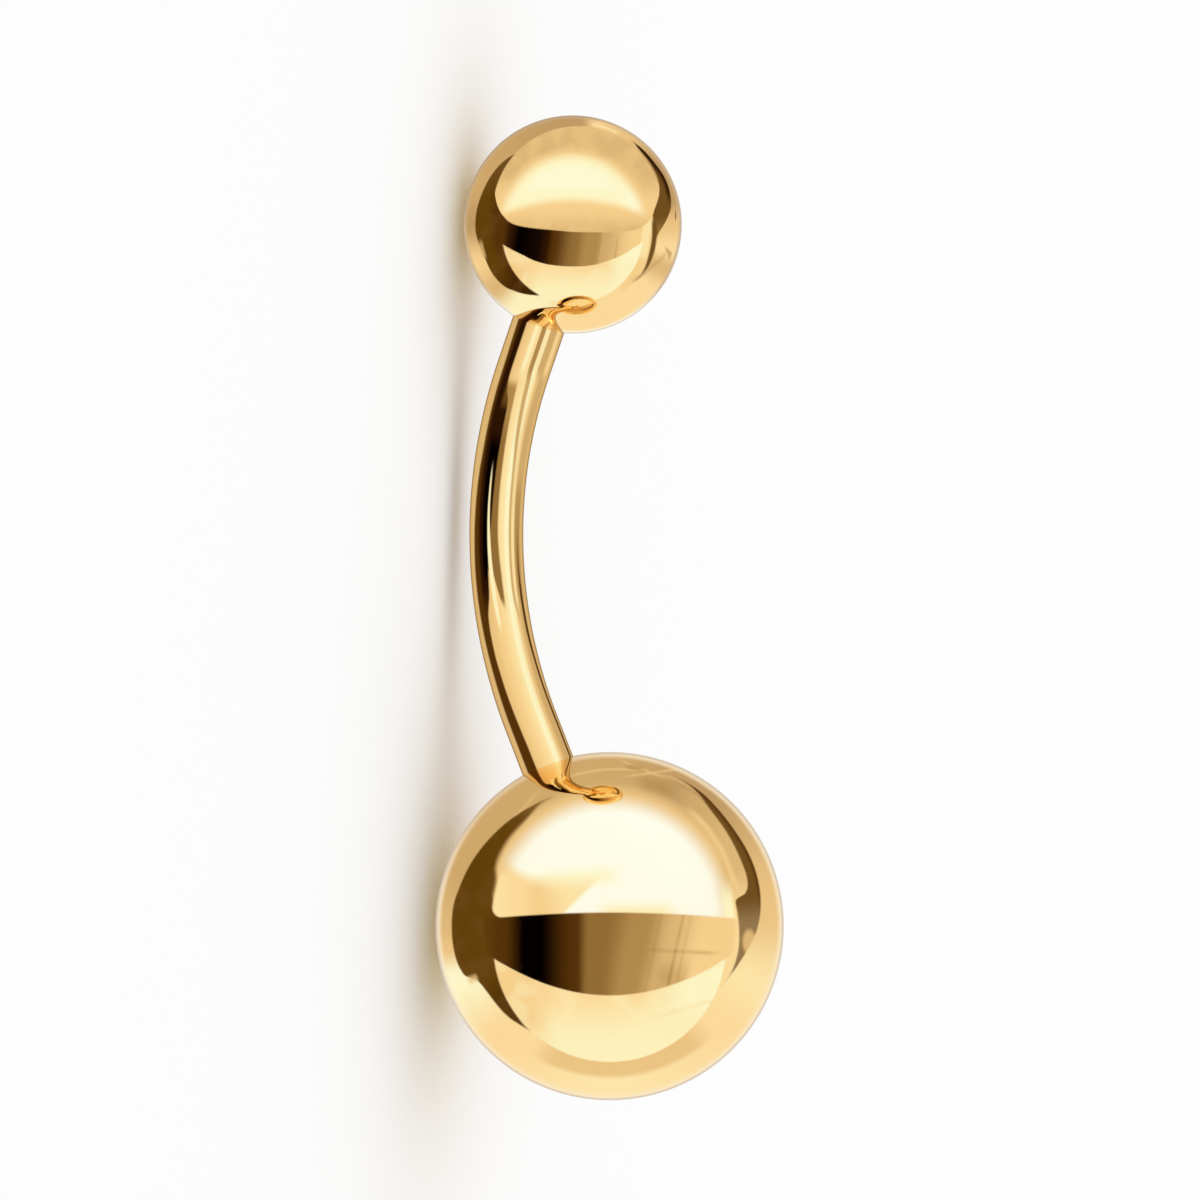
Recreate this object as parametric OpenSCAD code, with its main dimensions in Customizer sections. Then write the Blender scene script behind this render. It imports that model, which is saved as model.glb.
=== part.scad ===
// Curved navel ring: a bent round bar with a small ball screwed on one end
// and a large ball on the other. It lies on a flat surface at Z = 0 as it
// settles by itself: both balls touch the surface and the bow of the bar
// hangs down between them, just clear of it. The small ball is at -X and the
// large ball at +X, and the bar is bent in the plane Y = 0. Millimetres.

/* [Balls] */
// Diameter of the small ball, worn above the navel
top_ball_d = 5; // [4:0.5:6]
// Diameter of the large ball, worn in the navel
bottom_ball_d = 8; // [7:0.5:10]

/* [Bar] */
// Diameter of the round wire that the bar is bent from
bar_d = 1.24; // [1.22:0.02:1.6]
// Straight-line length of bar that shows between the two balls
clear_length = 10.15; // [9:0.05:12]
// Radius of the bend, to the middle of the wire
bend_r = 11.7; // [11:0.1:14]
// Half of the angle that the bar is bent through
bend_half = 20.4; // [10:0.1:22]

/* [Thread] */
// Outer diameter of the threaded tips
thread_d = 1.2; // [1:0.02:1.2]
// Pitch of the thread
thread_pitch = 0.25; // [0.2:0.05:0.35]
// Length of each threaded tip, from its shoulder to its end
tip_length = 2.0; // [1.4:0.1:2.1]
// Length of the plain neck between the shoulder and the first groove
neck_length = 0.3; // [0.2:0.05:0.4]

/* [Seats] */
// How deep the full wire diameter sinks into each ball
seat_depth = 0.4; // [0.3:0.05:0.6]
// Hairline of room between the wire and the edge of its seat
seat_gap = 0.015; // [0.01:0.005:0.04]
// Room all round the threaded tip in its bore
thread_gap = 0.02; // [0.01:0.005:0.04]
// Room between the end of the tip and the bottom of the bore
end_room = 0.2; // [0.1:0.05:0.3]

/* [Hidden] */
$fn = 96;

gold = [0.93, 0.70, 0.33];
gold_bar = [0.90, 0.66, 0.30];

bar_r = bar_d / 2;
top_r = top_ball_d / 2;
bottom_r = bottom_ball_d / 2;
thread_r = thread_d / 2;

// a 60 degree thread: the grooves are cut this deep
groove_depth = 0.6134 * thread_pitch;
groove_half = 0.44 * thread_pitch;
groove_count = floor((tip_length - neck_length - 0.2) / thread_pitch);

// each end of the bar is straight from the end of the bend to the ball
straight = (clear_length / 2 - bend_r * sin(bend_half)) / cos(bend_half);

// the ball's surface meets the wire where the sphere is as wide as the wire
top_mouth = sqrt(top_r * top_r - bar_r * bar_r);
bottom_mouth = sqrt(bottom_r * bottom_r - bar_r * bar_r);

// how far each ball's centre is from the end of the bend
top_run = straight + top_mouth;
bottom_run = straight + bottom_mouth;

// the ball centres in the bar's own frame: the middle of the bend at the
// origin, the wire along X there, and the centre of the bend at +Y
function end_x(run) = bend_r * sin(bend_half) + run * cos(bend_half);
function end_y(run) = bend_r * (1 - cos(bend_half)) + run * sin(bend_half);
top_c = [-end_x(top_run), end_y(top_run)];
bottom_c = [end_x(bottom_run), end_y(bottom_run)];

// the line between the ball centres: its slope in the bar's own frame, and
// its slope when both balls rest on the surface
between = norm(bottom_c - top_c);
lean = atan2(bottom_c[1] - top_c[1], bottom_c[0] - top_c[0]);
rise = asin((bottom_r - top_r) / between);
overall = top_r + between * cos(rise) + bottom_r;

// from the bar's own frame to the part's frame: the bow turned down, then
// the ring tipped until both balls touch the surface
module lay_down() {
    translate([top_r - overall / 2, 0, top_r])
        rotate([0, lean - rise, 0])
            rotate([90, 0, 0])
                translate([-top_c[0], -top_c[1], 0])
                    children();
}

// puts children, made along +Z from the end of the bend, on one end of the
// bar: side is 1 for the large ball's end and -1 for the small ball's end
module on_end(side) {
    translate([side * bend_r * sin(bend_half), bend_r * (1 - cos(bend_half)), 0])
        rotate([0, 0, side * bend_half])
            rotate([0, side * 90, 0])
                children();
}

// the bent middle of the bar
module bend() {
    translate([0, bend_r, 0])
        rotate_extrude(angle = 2 * bend_half, start = -90 - bend_half, $fn = 360)
            translate([bend_r, 0]) circle(r = bar_r, $fn = 64);
}

// one straight end of the bar: the wire up to its shoulder, a relief neck,
// and the threaded tip, whose grooves stand in for the turns of the thread.
// Its root reaches back into the bend, so that the two make one solid
module bar_end(run, ball_r) {
    shoulder = run - ball_r + seat_depth_from(ball_r);
    neck_r = thread_r - groove_depth;
    tip_end = shoulder + tip_length;
    rotate_extrude()
        difference() {
            polygon([
                [0, -0.3],
                [bar_r * 0.8, -0.3],
                [bar_r, 0.02],
                [bar_r, shoulder - 0.04],
                [bar_r - 0.04, shoulder],
                [neck_r, shoulder],
                [neck_r, shoulder + neck_length - groove_depth],
                [thread_r, shoulder + neck_length],
                [thread_r, tip_end - 0.12],
                [thread_r - 0.12, tip_end],
                [0, tip_end]
            ]);
            for (i = [0 : groove_count - 1])
                translate([thread_r, shoulder + neck_length + 0.14 + (i + 0.5) * thread_pitch])
                    polygon([
                        [0.01, -groove_half],
                        [-groove_depth, -0.06 * thread_pitch],
                        [-groove_depth, 0.06 * thread_pitch],
                        [0.01, groove_half]
                    ]);
        }
}

// depth of the shoulder below the top of the ball, from the seat's depth
// below the edge where the wire goes in
function seat_depth_from(ball_r) = ball_r - sqrt(ball_r * ball_r - bar_r * bar_r) + seat_depth;

// a polished ball with its blind bore, made along +Z with its centre at the
// origin and the mouth of the bore facing -Z
module bored_ball(ball_r) {
    seat_at = -ball_r + seat_depth_from(ball_r);
    bore_r = thread_r + thread_gap;
    bottom = seat_at + tip_length + end_room;
    difference() {
        sphere(r = ball_r, $fn = 180);
        rotate_extrude()
            polygon([
                [0, -ball_r - 1],
                [bar_r + seat_gap, -ball_r - 1],
                [bar_r + seat_gap, seat_at + seat_gap],
                [bore_r, seat_at + seat_gap],
                [bore_r, bottom],
                [0, bottom + bore_r * 0.6]
            ]);
    }
}

module bar() {
    color(gold_bar)
        lay_down()
            union() {
                bend();
                on_end(-1) bar_end(top_run, top_r);
                on_end(1) bar_end(bottom_run, bottom_r);
            }
}

module top_ball() {
    color(gold)
        lay_down()
            on_end(-1) translate([0, 0, top_run]) bored_ball(top_r);
}

module bottom_ball() {
    color(gold)
        lay_down()
            on_end(1) translate([0, 0, bottom_run]) bored_ball(bottom_r);
}

bar();
top_ball();
bottom_ball();
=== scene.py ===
import math

import bmesh
import bpy
from mathutils import Matrix, Vector


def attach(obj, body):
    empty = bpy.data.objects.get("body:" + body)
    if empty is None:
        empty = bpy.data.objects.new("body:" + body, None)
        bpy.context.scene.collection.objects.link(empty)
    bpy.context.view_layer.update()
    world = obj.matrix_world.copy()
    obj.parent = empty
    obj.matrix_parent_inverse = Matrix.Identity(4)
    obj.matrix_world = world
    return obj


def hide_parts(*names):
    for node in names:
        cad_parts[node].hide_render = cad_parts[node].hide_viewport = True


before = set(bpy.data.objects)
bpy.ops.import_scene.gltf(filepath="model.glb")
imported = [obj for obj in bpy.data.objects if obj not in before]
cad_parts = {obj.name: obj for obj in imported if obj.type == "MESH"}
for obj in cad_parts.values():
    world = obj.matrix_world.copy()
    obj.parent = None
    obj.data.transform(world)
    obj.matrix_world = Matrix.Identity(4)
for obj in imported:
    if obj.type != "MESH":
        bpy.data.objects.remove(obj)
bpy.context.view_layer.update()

scene = bpy.context.scene

MM = 0.001

# ---------------------------------------------------------------- the ring's own sizes, in mm
TOP_R, BIG_R, BAR_R = 2.5, 4.0, 0.62
CLEAR, BEND_R, BEND_HALF = 10.15, 11.7, math.radians(20.4)
THREAD_R, PITCH, TIP, NECK = 0.6, 0.25, 2.0, 0.3
SEAT, SEAT_GAP, THREAD_GAP, END_ROOM = 0.4, 0.015, 0.02, 0.2
GROOVE = 0.6134 * PITCH
EDGE = 0.008                            # the softened edge of each ball's mouth

STRAIGHT = (CLEAR / 2 - BEND_R * math.sin(BEND_HALF)) / math.cos(BEND_HALF)
TOP_RUN = STRAIGHT + math.sqrt(TOP_R ** 2 - BAR_R ** 2)
BIG_RUN = STRAIGHT + math.sqrt(BIG_R ** 2 - BAR_R ** 2)


def end_point(side, run):
    """Point on the bar's middle line, run mm past the end of the bend, in the bar's own frame."""
    x = BEND_R * math.sin(BEND_HALF) + run * math.cos(BEND_HALF)
    y = BEND_R * (1 - math.cos(BEND_HALF)) + run * math.sin(BEND_HALF)
    return Vector((side * x, y, 0.0))


TOP_C, BIG_C = end_point(-1, TOP_RUN), end_point(1, BIG_RUN)
BETWEEN = (BIG_C - TOP_C).length
LEAN = math.atan2(BIG_C.y - TOP_C.y, BIG_C.x - TOP_C.x)
RISE = math.asin((BIG_R - TOP_R) / BETWEEN)
OVERALL = TOP_R + BETWEEN * math.cos(RISE) + BIG_R

# bar's own frame (mm) to the part's frame (m): the bow turned down, both balls on the surface
LAY = (
    Matrix.Scale(MM, 4)
    @ Matrix.Translation((TOP_R - OVERALL / 2, 0, TOP_R))
    @ Matrix.Rotation(LEAN - RISE, 4, "Y")
    @ Matrix.Rotation(math.radians(90), 4, "X")
    @ Matrix.Translation(-TOP_C)
)

# ---------------------------------------------------------------- camera
# fitted to the picture's outline of both balls and of the bar
CAM_D, CAM_F = 220.0, 9564.6            # distance in mm, focal length in pixels of a 1200 frame
CAM_E, CAM_PSI, CAM_ROLL = math.radians(2.0), math.radians(-12.0), math.radians(-1.165)
CAM_TX, CAM_TY = -2.3824, 1.2477        # aim, in mm


def picture_axes():
    """Right, up and towards-the-viewer of the picture, and the camera's place, in the bar's own frame."""
    # picture frame: x right, y into the page, z up; the bar's own frame is X = -up, Y = right, Z = towards the viewer
    turn = Matrix.Rotation(CAM_PSI, 3, "Z")
    c, s = math.cos(CAM_ROLL), math.sin(CAM_ROLL)
    roll = Matrix(((c, 0, s), (0, 1, 0), (-s, 0, c)))
    ce, se = math.cos(CAM_E), math.sin(CAM_E)
    tip = Matrix(((1, 0, 0), (0, ce, -se), (0, se, ce)))
    m = tip @ roll @ turn
    right, into, up = m.row[0].copy(), m.row[1].copy(), m.row[2].copy()
    place = -CAM_TX * right - CAM_TY * up - CAM_D * into

    def bar(v):
        return Vector((-v.z, v.x, -v.y))

    return bar(right), bar(up), bar(-into), bar(place)


P_RIGHT, P_UP, P_OUT, P_PLACE = picture_axes()
turn3 = (LAY.to_3x3() * (1 / MM)).normalized()
VIEW = Matrix((turn3 @ P_RIGHT, turn3 @ P_UP, turn3 @ P_OUT)).transposed()
CAM_PLACE = LAY @ P_PLACE

cam_data = bpy.data.cameras.new("camera")
cam_data.sensor_width = 36.0
cam_data.sensor_height = 36.0
cam_data.sensor_fit = "HORIZONTAL"
cam_data.lens = CAM_F * 36.0 / 1200.0
cam_data.clip_start = 0.005
cam_data.clip_end = 50.0
cam = bpy.data.objects.new("camera", cam_data)
cam.matrix_world = Matrix.Translation(CAM_PLACE) @ VIEW.to_4x4()
scene.collection.objects.link(cam)
scene.camera = cam

scene.view_settings.view_transform = "Standard"
scene.view_settings.look = "None"
scene.view_settings.exposure = 0.0
scene.view_settings.gamma = 1.0


# ---------------------------------------------------------------- small node-maths helper
class Ex:
    """A value in a node tree, with the usual arithmetic."""

    def __init__(self, nt, socket):
        self.nt, self.s = nt, socket

    def _op(self, op, *others):
        n = self.nt.nodes.new("ShaderNodeMath")
        n.operation = op
        for i, v in enumerate((self, *others)):
            if isinstance(v, Ex):
                self.nt.links.new(v.s, n.inputs[i])
            else:
                n.inputs[i].default_value = v
        return Ex(self.nt, n.outputs[0])

    def __add__(self, o):
        return self._op("ADD", o)

    __radd__ = __add__

    def __sub__(self, o):
        return self._op("SUBTRACT", o)

    def __rsub__(self, o):
        return (self * -1.0) + o

    def __mul__(self, o):
        return self._op("MULTIPLY", o)

    __rmul__ = __mul__

    def __truediv__(self, o):
        return self._op("DIVIDE", o)

    def sqrt(self):
        return self._op("SQRT")

    def abs(self):
        return self._op("ABSOLUTE")

    def max(self, o):
        return self._op("MAXIMUM", o)

    def min(self, o):
        return self._op("MINIMUM", o)

    def exp(self):
        return self._op("EXPONENT")

    def sin(self):
        return self._op("SINE")

    def cos(self):
        return self._op("COSINE")

    def asin(self):
        return self._op("ARCSINE")

    def acos(self):
        return self._op("ARCCOSINE")

    def atan2(self, o):
        return self._op("ARCTAN2", o)

    def step(self, a, b):
        """0 at a and 1 at b, smooth between and level beyond; a may be over b."""
        n = self.nt.nodes.new("ShaderNodeMapRange")
        n.interpolation_type = "SMOOTHSTEP"
        n.clamp = True
        self.nt.links.new(self.s, n.inputs["Value"])
        lo, hi = (a, b) if a < b else (b, a)
        n.inputs["From Min"].default_value = lo
        n.inputs["From Max"].default_value = hi
        n.inputs["To Min"].default_value = 0.0 if a < b else 1.0
        n.inputs["To Max"].default_value = 1.0 if a < b else 0.0
        return Ex(self.nt, n.outputs["Result"])

    def inside(self, lo, hi, soft):
        """1 between lo and hi, with soft edges."""
        return self.step(lo - soft, lo + soft) * self.step(hi + soft, hi - soft)

    def curve(self, pts):
        """A smooth curve through pts, given as (x, y) with rising x; level beyond its ends."""
        xs, ys = [p[0] for p in pts], [p[1] for p in pts]
        x0, x1, y0, y1 = xs[0], xs[-1], min(ys), max(ys)
        n = self.nt.nodes.new("ShaderNodeFloatCurve")
        c = n.mapping.curves[0]
        n.mapping.clip_min_x = n.mapping.clip_min_y = 0.0
        n.mapping.clip_max_x = n.mapping.clip_max_y = 1.0
        where = [((x - x0) / (x1 - x0), (y - y0) / (y1 - y0)) for x, y in pts]
        c.points[0].location = where[0]
        c.points[1].location = where[-1]
        for w in where[1:-1]:
            c.points.new(*w)
        for p in c.points:
            p.handle_type = "AUTO_CLAMPED"
        n.mapping.update()
        t = ((self - x0) * (1 / (x1 - x0))).max(0.0).min(1.0)
        self.nt.links.new(t.s, n.inputs["Value"])
        return Ex(self.nt, n.outputs[0]) * (y1 - y0) + y0


def mix_colour(nt, fac, a, b):
    n = nt.nodes.new("ShaderNodeMix")
    n.data_type = "RGBA"
    n.blend_type = "MIX"
    n.clamp_factor = True
    for key, v in ((0, fac), (6, a), (7, b)):
        if isinstance(v, Ex):
            nt.links.new(v.s, n.inputs[key])
        elif hasattr(v, "is_linked"):
            nt.links.new(v, n.inputs[key])
        elif key == 0:
            n.inputs[key].default_value = v
        else:
            n.inputs[key].default_value = (*v, 1.0)
    return n.outputs[2]


def mix_value(nt, fac, a, b):
    """a where fac is 0 and b where it is 1."""
    if not isinstance(a, Ex):
        return (b - a) * fac + a
    return a + (b - a) * fac


def ramp(nt, x, lo, hi, stops):
    """Colours along x, given as (x, colour)."""
    n = nt.nodes.new("ShaderNodeValToRGB")
    n.color_ramp.interpolation = "EASE"
    el = n.color_ramp.elements
    while len(el) > 1:
        el.remove(el[-1])
    for i, (p, c) in enumerate(stops):
        e = el[0] if i == 0 else el.new((p - lo) / (hi - lo))
        e.position = (p - lo) / (hi - lo)
        e.color = (*c, 1.0)
    t = (x - lo) * (1 / (hi - lo))
    nt.links.new(t.s, n.inputs[0])
    return n.outputs[0]


# ---------------------------------------------------------------- the gold
GOLD = (0.985, 0.695, 0.315)


def gold(name, base, second):
    """Mirror-polished plating: a slight drift of colour, polish that varies, and faint wiping marks."""
    m = bpy.data.materials.new(name)
    m.use_nodes = True
    nt = m.node_tree
    nt.nodes.clear()
    out = nt.nodes.new("ShaderNodeOutputMaterial")
    sh = nt.nodes.new("ShaderNodeBsdfPrincipled")
    nt.links.new(sh.outputs[0], out.inputs["Surface"])
    sh.inputs["Metallic"].default_value = 1.0
    tc = nt.nodes.new("ShaderNodeTexCoord")

    drift = nt.nodes.new("ShaderNodeTexNoise")
    drift.inputs["Scale"].default_value = 260.0
    drift.inputs["Detail"].default_value = 3.0
    nt.links.new(tc.outputs["Object"], drift.inputs["Vector"])
    d = Ex(nt, drift.outputs["Fac"]).step(0.3, 0.7)
    nt.links.new(mix_colour(nt, d, base, second), sh.inputs["Base Color"])

    fine = nt.nodes.new("ShaderNodeTexNoise")
    fine.inputs["Scale"].default_value = 1900.0
    fine.inputs["Detail"].default_value = 4.0
    fm = nt.nodes.new("ShaderNodeMapping")
    fm.inputs["Scale"].default_value = (0.25, 1.0, 1.0)
    nt.links.new(tc.outputs["Object"], fm.inputs["Vector"])
    nt.links.new(fm.outputs[0], fine.inputs["Vector"])
    f = Ex(nt, fine.outputs["Fac"])
    rough = d * 0.010 + f.step(0.35, 0.75) * 0.015 + 0.02
    nt.links.new(rough.s, sh.inputs["Roughness"])

    bump = nt.nodes.new("ShaderNodeBump")
    bump.inputs["Strength"].default_value = 0.02
    bump.inputs["Distance"].default_value = 0.00002
    nt.links.new(f.s, bump.inputs["Height"])
    nt.links.new(bump.outputs[0], sh.inputs["Normal"])
    return m


BALL_GOLD = gold("ball_gold", GOLD, (0.975, 0.675, 0.297))
BAR_GOLD = gold("bar_gold", (0.98, 0.688, 0.308), (0.97, 0.668, 0.288))


# ---------------------------------------------------------------- turned and swept shapes
def mesh_object(name, verts, faces, material, normals=None):
    me = bpy.data.meshes.new(name)
    me.from_pydata([tuple(v) for v in verts], [], faces)
    me.materials.append(material)
    bm = bmesh.new()
    bm.from_mesh(me)
    bmesh.ops.recalc_face_normals(bm, faces=bm.faces)
    bm.to_mesh(me)
    bm.free()
    for p in me.polygons:
        p.use_smooth = True
    if normals is not None:
        own = [tuple(n.vector) for n in me.vertex_normals]
        me.normals_split_custom_set_from_vertices([tuple(n) if n is not None else o for n, o in zip(normals, own)])
    ob = bpy.data.objects.new(name, me)
    scene.collection.objects.link(ob)
    return ob


def ring_skin(rings, n):
    """Quads that join neighbouring rings of n points."""
    faces = []
    for i in range(len(rings) - 1):
        a, b = rings[i], rings[i + 1]
        for k in range(n):
            l = (k + 1) % n
            faces.append((a + k, a + l, b + l, b + k))
    return faces


def caps(faces, first, a, last, b, n):
    """Close both ends of a skin on the points a and b."""
    for k in range(n):
        l = (k + 1) % n
        faces.append((a, first + l, first + k))
        faces.append((b, last + k, last + l))


def thread_depth(a, z, z0, z1, depth):
    """Depth of a right-handed groove at angle a and height z, fading in at z0 and out at z1."""
    t = (z / PITCH - a / (2 * math.pi)) % 1.0
    v = min(max(0.0, 1.0 - abs(t - 0.5) / 0.44) / 0.88, 1.0)
    return depth * v * max(0.0, min((z - z0) / PITCH, (z1 - z) / PITCH, 1.0))


def make_bar(n=112):
    """One skin from tip to tip. Every ring has the same two axes: across the bend, and along its axis."""
    stations = []                       # centre, across, direction along the wire, and radius or function of the angle

    def end_rows(run, ball_r):
        """Heights from the end of the bend outwards, with radii."""
        shoulder = run - ball_r + (ball_r - math.sqrt(ball_r ** 2 - BAR_R ** 2) + SEAT)
        neck_r = THREAD_R - GROOVE
        rows = [(shoulder * i / 17, BAR_R) for i in range(1, 17)]
        rows += [(shoulder - 0.05, BAR_R)]
        for i in range(7):
            a = math.pi / 2 * i / 6
            rows.append((shoulder - 0.04 + 0.04 * math.sin(a), BAR_R - 0.04 + 0.04 * math.cos(a)))
        rows += [(shoulder, neck_r + 0.006), (shoulder + 0.006, neck_r)]
        rows += [(shoulder + NECK - GROOVE, neck_r), (shoulder + NECK, THREAD_R)]
        z0, z1 = shoulder + NECK, shoulder + TIP - 0.12
        count = int(round((z1 - z0) / (PITCH / 16)))
        rows += [(z0 + (z1 - z0) * i / count, (z0, z1, 0.0)) for i in range(1, count + 1)]
        rows += [(z1 + 0.12 * t, (z0, z1, 0.12 * t)) for t in (0.25, 0.5, 0.75, 1.0)]
        rows.append((shoulder + TIP, 0.24))
        return rows, shoulder + TIP

    def radius(spec, side):
        if not isinstance(spec, tuple):
            return lambda a, z: spec
        z0, z1, cut = spec

        def r(a, z):
            zz = min(z, z1)
            return min(THREAD_R - thread_depth(a, side * zz, *((z0, z1 + 0.2) if side > 0 else (-z1 - 0.2, -z0)), GROOVE), THREAD_R - cut)

        return r

    def straight(side, run, ball_r):
        rows, end = end_rows(run, ball_r)
        t = side * BEND_HALF
        base, along = end_point(side, 0.0), Vector((side * math.cos(t), side * math.sin(t), 0))
        out = []
        for z, spec in rows:
            f = radius(spec, side)
            out.append((base + along * z, Vector((-math.sin(t), math.cos(t), 0)), (lambda a, f=f, z=z: f(a, z))))
        return out, base + along * end

    first, tip_a = straight(-1, TOP_RUN, TOP_R)
    stations += list(reversed(first))
    for i in range(121):
        t = -BEND_HALF + 2 * BEND_HALF * i / 120
        stations.append((Vector((BEND_R * math.sin(t), BEND_R * (1 - math.cos(t)), 0)), Vector((-math.sin(t), math.cos(t), 0)), lambda a: BAR_R))
    last, tip_b = straight(1, BIG_RUN, BIG_R)
    stations += last
    verts, rings = [], []
    axis = Vector((0, 0, 1))
    for c, across, f in stations:
        rings.append(len(verts))
        for k in range(n):
            a = 2 * math.pi * k / n
            verts.append(LAY @ (c + (across * math.cos(a) + axis * math.sin(a)) * f(a)))
    faces = ring_skin(rings, n)
    verts += [LAY @ tip_a, LAY @ tip_b]
    caps(faces, rings[0], len(verts) - 2, rings[-1], len(verts) - 1, n)
    return mesh_object("bar_polished", verts, faces, BAR_GOLD)


def make_ball(name, side, run, ball_r, n=224):
    """A turned ball: blind threaded bore, step for the wire's shoulder, softened mouth, and a true sphere."""
    centre = end_point(side, run)
    m = (
        LAY
        @ Matrix.Translation(centre)
        @ Matrix.Rotation(side * BEND_HALF, 4, "Z")
        @ Matrix.Rotation(math.radians(side * 90), 4, "Y")
    )
    seat_at = -ball_r + (ball_r - math.sqrt(ball_r ** 2 - BAR_R ** 2) + SEAT)
    bore_r = THREAD_R + THREAD_GAP
    bottom = seat_at + TIP + END_ROOM
    seat_r = BAR_R + EDGE
    rows = [(bottom + bore_r * 0.4, bore_r * 0.33), (bottom + bore_r * 0.2, bore_r * 0.66)]
    z0 = seat_at + SEAT_GAP + 0.03
    count = int(round((bottom - z0) / (PITCH / 8)))
    for i in range(count + 1):
        z = bottom + (z0 - bottom) * i / count
        rows.append((z, (lambda a, z=z: bore_r + thread_depth(a, z, z0, bottom, GROOVE * 0.5))))
    rows += [(seat_at + SEAT_GAP, bore_r), (seat_at + SEAT_GAP, seat_r)]
    # mouth: a small round between the seat's wall and the sphere
    rc = seat_r + EDGE
    zc = -math.sqrt((ball_r - EDGE) ** 2 - rc ** 2)
    rows += [(seat_at + SEAT_GAP - 0.02, seat_r), (zc + 0.03, seat_r)]
    out_angle = math.atan2(zc, rc)
    for i in range(7):
        a = -math.pi + (out_angle + math.pi) * i / 6
        rows.append((zc + EDGE * math.sin(a), rc + EDGE * math.cos(a)))
    sphere_from = len(rows) - 1
    angles = [out_angle + 0.003, out_angle + 0.009]
    left = math.pi / 2 - angles[-1]
    angles += [angles[-1] + left * (i + 1) / 170 for i in range(169)]
    rows += [(ball_r * math.sin(a), ball_r * math.cos(a)) for a in angles]
    verts, rings, normals = [], [], []
    centre_w = LAY @ centre
    for i, (z, r) in enumerate(rows):
        rings.append(len(verts))
        for k in range(n):
            a = 2 * math.pi * k / n
            rr = r(a) if callable(r) else r
            p = m @ Vector((rr * math.cos(a), rr * math.sin(a), z))
            verts.append(p)
            normals.append((p - centre_w).normalized() if i >= sphere_from else None)
    faces = ring_skin(rings, n)
    verts += [m @ Vector((0, 0, bottom + bore_r * 0.6)), m @ Vector((0, 0, ball_r))]
    normals += [None, (verts[-1] - centre_w).normalized()]
    caps(faces, rings[0], len(verts) - 2, rings[-1], len(verts) - 1, n)
    return mesh_object(name, verts, faces, BALL_GOLD, normals)


bar = make_bar()
small = make_ball("small_ball_polished", -1, TOP_RUN, TOP_R)
large = make_ball("large_ball_polished", 1, BIG_RUN, BIG_R)

for piece, node, material_slot in (
    (bar, "bar", "bar_gold"),
    (small, "top_ball", "ball_gold"),
    (large, "bottom_ball", "ball_gold"),
):
    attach(piece, node)
    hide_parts(node)

# ---------------------------------------------------------------- floor
floor_me = bpy.data.meshes.new("floor")
S = 6.0
floor_me.from_pydata([(-S, -S, 0), (S, -S, 0), (S, S, 0), (-S, S, 0)], [], [(0, 1, 2, 3)])
floor = bpy.data.objects.new("floor", floor_me)
scene.collection.objects.link(floor)
fm = bpy.data.materials.new("floor_white")
fm.use_nodes = True
sh = fm.node_tree.nodes["Principled BSDF"]
sh.inputs["Base Color"].default_value = (0.985, 0.985, 0.985, 1.0)
sh.inputs["Roughness"].default_value = 0.9
sh.inputs["Specular IOR Level"].default_value = 0.0
floor_me.materials.append(fm)
floor.visible_glossy = False


# ---------------------------------------------------------------- light tents
# Each piece has its own tent of painted cloth, linked to that piece alone. A ball's tent is painted in the plane of
# a mirror ball's picture: (u, v) is where the ball, seen from the camera's first place, shows that part of the
# tent: 0 in the middle and 1 at the rim. The bar's tent is a tube round its middle line, painted across and along it.

# shades of the cloth, as the gold shows them, from dark to bright
INK = (4, 1, 1)
SOOT = (20, 8, 3)
EARTH = (44, 20, 4)
UMBER = (64, 34, 5)
COCOA = (84, 50, 10)
MOCHA = (98, 64, 11)
BRONZE = (112, 78, 30)
OLIVE = (146, 108, 54)
DRAB = (148, 119, 77)
SAND = (178, 138, 78)
KHAKI = (192, 154, 100)
TAN = (208, 169, 108)
BISQUE = (222, 183, 120)
AMBER = (236, 196, 130)
HONEY = (247, 209, 142)
GOLDEN = (252, 219, 155)
STRAW = (253, 229, 168)
CREAM = (254, 241, 188)
PEARL = (254, 247, 199)
IVORY = (254, 252, 215)
BRIGHT = (255, 254, 234)


def light(r, g, b):
    """The light that the gold turns into this display colour."""

    def linear(c):
        c /= 255.0
        return c / 12.92 if c <= 0.04045 else ((c + 0.055) / 1.055) ** 2.4

    return tuple(linear(c) / g_ for c, g_ in zip((r, g, b), GOLD))


def lit(nt, x, lo, hi, stops):
    """A ramp whose stops are display colours; it holds a quarter of the light, so the tent brightens it four times at
    the end.
    """
    return ramp(nt, x, lo, hi, [(p, tuple(0.25 * k for k in light(*c))) for p, c in stops])


def brighten(nt, colour, by):
    n = nt.nodes.new("ShaderNodeVectorMath")
    n.operation = "SCALE"
    nt.links.new(colour, n.inputs[0])
    n.inputs["Scale"].default_value = by
    return n.outputs[0]


def tinted(nt, colour, by):
    n = nt.nodes.new("ShaderNodeVectorMath")
    n.operation = "MULTIPLY"
    nt.links.new(colour, n.inputs[0])
    n.inputs[1].default_value = by
    return n.outputs[0]


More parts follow.
